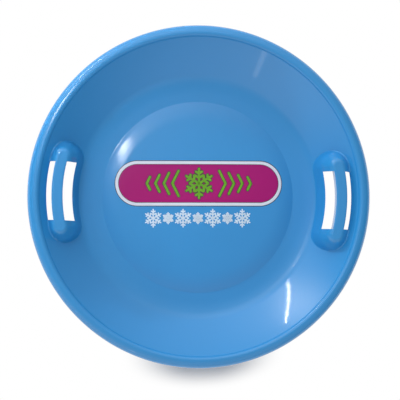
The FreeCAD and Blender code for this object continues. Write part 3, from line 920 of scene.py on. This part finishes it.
def ink_material(name, paint):
    """Returns a printed ink."""
    material, tree, shader, coordinates = new_material(name)
    surface = add_surface(tree, coordinates, paint, INK_TINTS, INK_ROUGHNESS, INK_UNEVEN)
    wire_shader(tree, shader, surface["Color"], surface["Roughness"], surface["Height"], INK_SPECULAR)
    return material


def film_material(label, finish):
    """Returns the label film: bands by the distance from its edge.

    In the label's own axes that distance is half the width less the distance from the core line.
    """
    material, tree, shader, coordinates = new_material("label_film")
    own = add_node(tree, "ShaderNodeMapping", {"Vector": coordinates, "Location": (0, label.offset, 0),
                   "Rotation": (0, 0, label.turn)}, vector_type="TEXTURE").outputs[0]
    parts = add_node(tree, "ShaderNodeSeparateXYZ", {"Vector": own}).outputs
    core = (label.length - label.width) / 2
    past = add_math(tree, "SUBTRACT", add_math(tree, "ABSOLUTE", parts["X"]), core)
    side = add_math(tree, "MAXIMUM", past, 0.0)
    offset = add_node(tree, "ShaderNodeCombineXYZ", {"X": side, "Y": parts["Y"]}).outputs[0]
    reach = add_node(tree, "ShaderNodeVectorMath", {0: offset}, operation="LENGTH").outputs["Value"]
    edge = add_math(tree, "SUBTRACT", label.width / 2, reach)
    surface = add_surface(tree, coordinates, finish.field, FILM_TINTS, FILM_ROUGHNESS, FILM_UNEVEN)
    paint = surface["Color"]
    for width, tint in ((label.inner_line, finish.outline), (label.border, finish.border),
                        (label.line, finish.outline)):
        paint = mix_colours(tree, add_math(tree, "LESS_THAN", edge, width), paint, opaque(tint))
    wire_shader(tree, shader, paint, surface["Roughness"], surface["Height"], INK_SPECULAR)
    return material


# Operators.
class SLED_OT_dish(bpy.types.Operator):
    """Makes the dish with its rolled rim"""
    bl_idname = "sled.dish"
    bl_label = "Dish"

    def execute(self, context):
        settings = context.scene.sled
        dish = Dish(settings.dish)
        grip = Grip(settings.grip, dish)
        material = plastic_material("dish_plastic", settings.finish.plastic, dish)
        piece = add_piece("dish", shell_patches(dish, grip), material, dish)
        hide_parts("saucer_shell")
        return {"FINISHED"}


class SLED_OT_grips(bpy.types.Operator):
    """Makes the two grips, the left one as the right one's mirror image"""
    bl_idname = "sled.grips"
    bl_label = "Grips"

    def execute(self, context):
        settings = context.scene.sled
        dish = Dish(settings.dish)
        patches = grip_patches(Grip(settings.grip, dish))
        mirrored = [patch.mirrored((-1, 1, 1)) for patch in patches]
        material = plastic_material("grip_plastic", settings.finish.plastic)
        right = add_piece("right_grip", patches, material, dish)
        left = add_piece("left_grip", mirrored, material, dish)
        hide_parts("right_handle")
        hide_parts("left_handle")
        return {"FINISHED"}


class SLED_OT_label(bpy.types.Operator):
    """Makes the label film and the motif printed on it"""
    bl_idname = "sled.label"
    bl_label = "Label"

    def execute(self, context):
        settings = context.scene.sled
        label, finish = settings.label, settings.finish
        dish = Dish(settings.dish)
        outline = [(0, label.offset, label.turn, label.length, label.width)]
        material = film_material(label, finish)
        film = add_piece("label", film_patches(dish, outline, 0, label.film), material)
        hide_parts("label_film")
        strokes = motif_strokes(label)
        wide = [(x, y, way, long + label.shade, width + label.shade) for x, y, way, long, width in strokes]
        layers = (("label_shade", wide, finish.outline), ("label_motif", strokes, finish.motif))
        for number, (name, parts, tint) in enumerate(layers):
            placed = turned(parts, label.turn, label.offset)
            lift = label.film + number * label.ink
            add_piece(name, film_patches(dish, placed, lift, label.ink), ink_material(name, tint))
        return {"FINISHED"}


class SLED_OT_print(bpy.types.Operator):
    """Makes the row of white snow crystals printed on the seat"""
    bl_idname = "sled.print"
    bl_label = "Print"

    def execute(self, context):
        settings = context.scene.sled
        label = settings.label
        dish = Dish(settings.dish)
        placed = turned(print_strokes(label), label.turn, label.print_offset)
        add_piece("seat_print", film_patches(dish, placed, 0, label.print_film),
                  ink_material("white_print", settings.finish.print))
        return {"FINISHED"}


# Stage.
class SLED_OT_stage(bpy.types.Operator):
    """Sets up the floor, the lights and the camera"""
    bl_idname = "sled.stage"
    bl_label = "Stage"

    def execute(self, context):
        scene = context.scene
        stage = scene.sled.stage
        scene.view_settings.view_transform = "Standard"
        add_floor()
        add_world(scene)
        for lamp in LAMPS:
            add_lamp(**lamp)
        add_camera(scene, stage)
        return {"FINISHED"}


def add_floor():
    """Lays a pale floor just under the sled.

    To the camera and in reflections it is white beyond the rim. Below the grips' windows that white is
    painted light over the sled's shadow, and under the rim it fades in from the base outwards, painted
    light over the shadow there. Towards the sled's base, and where the rim's shadow falls in front of it,
    it shows as it is lit.
    """
    mesh = bpy.data.meshes.new("floor")
    side = FLOOR_SIDE / 2
    corners = ((-side, -side), (side, -side), (side, side), (-side, side))
    mesh.from_pydata([(*corner, FLOOR_LEVEL) for corner in corners], [], [(0, 1, 2, 3)])
    floor = bpy.data.objects.new("floor", mesh)
    bpy.context.scene.collection.objects.link(floor)
    material = bpy.data.materials.new("floor")
    material.use_nodes = True
    tree = material.node_tree
    tree.nodes.clear()
    coordinates = add_node(tree, "ShaderNodeTexCoord").outputs["Object"]
    radius = flat_distance(tree, coordinates)
    # White glow from the base out to the rim and beyond: under the rim it is painted light over the sled's
    # shadow.
    beyond = smooth_step(tree, radius, *GLOW_START)
    near = add_math(tree, "SUBTRACT", 1.0, smooth_step(tree, radius, *SHADE_END))
    shade = add_math(tree, "MULTIPLY", near,
                     smooth_step(tree, flat_distance(tree, coordinates, SHADE_MIDDLE), *SHADE_REACH))
    open_floor = add_math(tree, "SUBTRACT", beyond, add_math(tree, "MULTIPLY", beyond, shade))
    parts = add_node(tree, "ShaderNodeSeparateXYZ", {0: coordinates}).outputs
    side_way = add_math(tree, "ABSOLUTE", parts["Y"])
    # Painted light: white glow over the sled's shadow below the grips' windows.
    painted_light_under_grips = add_math(tree, "MULTIPLY", smooth_step(tree, side_way, *GRIP_PAINTED_LIGHT_SIDES),
                           smooth_step(tree, radius, *GRIP_PAINTED_LIGHT_START))
    path = add_node(tree, "ShaderNodeLightPath").outputs
    seen = add_math(tree, "MAXIMUM", path["Is Camera Ray"], path["Is Glossy Ray"])
    seen = add_math(tree, "MAXIMUM", seen, path["Is Transmission Ray"])
    share = add_math(tree, "MULTIPLY", seen, add_math(tree, "MAXIMUM", open_floor, painted_light_under_grips))
    matt = add_node(tree, "ShaderNodeBsdfDiffuse", {"Color": FLOOR_COLOUR}).outputs[0]
    glow = add_node(tree, "ShaderNodeEmission", {"Color": WHITE, "Strength": 1.0}).outputs[0]
    mix = add_node(tree, "ShaderNodeMixShader", {0: share, 1: matt, 2: glow})
    add_node(tree, "ShaderNodeOutputMaterial", {"Surface": mix.outputs[0]})
    mesh.materials.append(material)


def direction(azimuth, elevation):
    """Returns the unit vector towards an azimuth and elevation in degrees."""
    turn, rise = math.radians(azimuth), math.radians(elevation)
    return math.cos(rise) * math.cos(turn), math.cos(rise) * math.sin(turn), math.sin(rise)


def add_world(scene):
    """Lights the sled softly from all around.

    Each soft light adds strength * max(cosine of the angle to its middle, 0) ^ sharpness.
    """
    world = bpy.data.worlds.new("surrounding")
    world.use_nodes = True
    tree = world.node_tree
    ray = add_node(tree, "ShaderNodeTexCoord").outputs["Generated"]
    total = EVEN_LIGHT
    for azimuth, elevation, sharpness, strength in SOFT_LIGHTS:
        cosine = add_node(tree, "ShaderNodeVectorMath", {0: ray, 1: direction(azimuth, elevation)},
                          operation="DOT_PRODUCT").outputs["Value"]
        lobe = add_math(tree, "POWER", add_math(tree, "MAXIMUM", cosine, 0.0), sharpness)
        total = add_math(tree, "MULTIPLY_ADD", lobe, strength, total)
    background = tree.nodes["Background"].inputs
    background["Color"].default_value = WHITE
    tree.links.new(total, background["Strength"])
    scene.world = world


def facing(place, aim, up):
    """Returns the placing of a lamp or camera that looks from a place at an aim, its upright near up."""
    back = (Vector(place) - Vector(aim)).normalized()
    right = Vector(up).cross(back).normalized()
    return Matrix.Translation(place) @ Matrix((right, back.cross(right), back)).transposed().to_4x4()


def add_lamp(name, place, aim, width, length, power, upright=(0, 0, 1), spread=180, reflected=True):
    """Adds a rectangular lamp at a place, aimed at a point, whose length runs along upright."""
    data = bpy.data.lights.new(name, "AREA")
    data.shape = "RECTANGLE"
    data.size, data.size_y = width, length
    data.energy = power
    data.spread = math.radians(spread)
    lamp = bpy.data.objects.new(name, data)
    lamp.matrix_world = facing(place, aim, upright)
    lamp.visible_camera = False
    lamp.visible_glossy = reflected
    bpy.context.scene.collection.objects.link(lamp)


def add_camera(scene, stage):
    """Puts the camera above the sled, a little off its axis, so that the rim has the photograph's place."""
    data = bpy.data.cameras.new("camera")
    camera = bpy.data.objects.new("camera", data)
    place = stage.distance * Vector((math.tan(stage.lean_x), math.tan(stage.lean_y), 1))
    right = Vector((math.cos(stage.roll), math.sin(stage.roll), 0))
    up = Vector((-math.sin(stage.roll), math.cos(stage.roll), 0))
    scale = RIM_PIXELS / RIM_RADIUS
    aim = Vector((0, 0, RIM_LEVEL)) + right * (RIM_SHIFT[0] / scale) + up * (RIM_SHIFT[1] / scale)
    camera.matrix_world = facing(place, aim, up)
    depth = (place - Vector((0, 0, RIM_LEVEL))).dot((place - aim).normalized())
    data.sensor_fit = "HORIZONTAL"
    data.lens = scale * depth * data.sensor_width / IMAGE_SIDE
    scene.collection.objects.link(camera)
    scene.camera = camera


# Sidebar and registration.
class SLED_PT_sidebar(bpy.types.Panel):
    """Lists the sled's operators and settings"""
    bl_idname = "SLED_PT_sidebar"
    bl_label = "Saucer sled"
    bl_space_type = "VIEW_3D"
    bl_region_type = "UI"
    bl_category = "Sled"

    def draw(self, context):
        for operator in OPERATORS:
            self.layout.operator(operator.bl_idname)
        for name in SledSettings.__annotations__:
            group = getattr(context.scene.sled, name)
            box = self.layout.box()
            box.label(text=name.capitalize())
            for prop in group.__annotations__:
                box.prop(group, prop)


OPERATORS = (SLED_OT_dish, SLED_OT_grips, SLED_OT_label, SLED_OT_print, SLED_OT_stage)
GROUPS = (SledDish, SledGrip, SledLabel, SledFinish, SledStage, SledSettings)


def register():
    for item in (*GROUPS, *OPERATORS, SLED_PT_sidebar):
        bpy.utils.register_class(item)
    bpy.types.Scene.sled = bpy.props.PointerProperty(type=SledSettings)


def unregister():
    del bpy.types.Scene.sled
    for item in reversed((*GROUPS, *OPERATORS, SLED_PT_sidebar)):
        bpy.utils.unregister_class(item)


def main():
    """Builds all pieces and the stage."""
    register()
    bpy.ops.sled.dish()
    bpy.ops.sled.grips()
    bpy.ops.sled.label()
    bpy.ops.sled.print()
    bpy.ops.sled.stage()


if __name__ == "__main__":
    main()
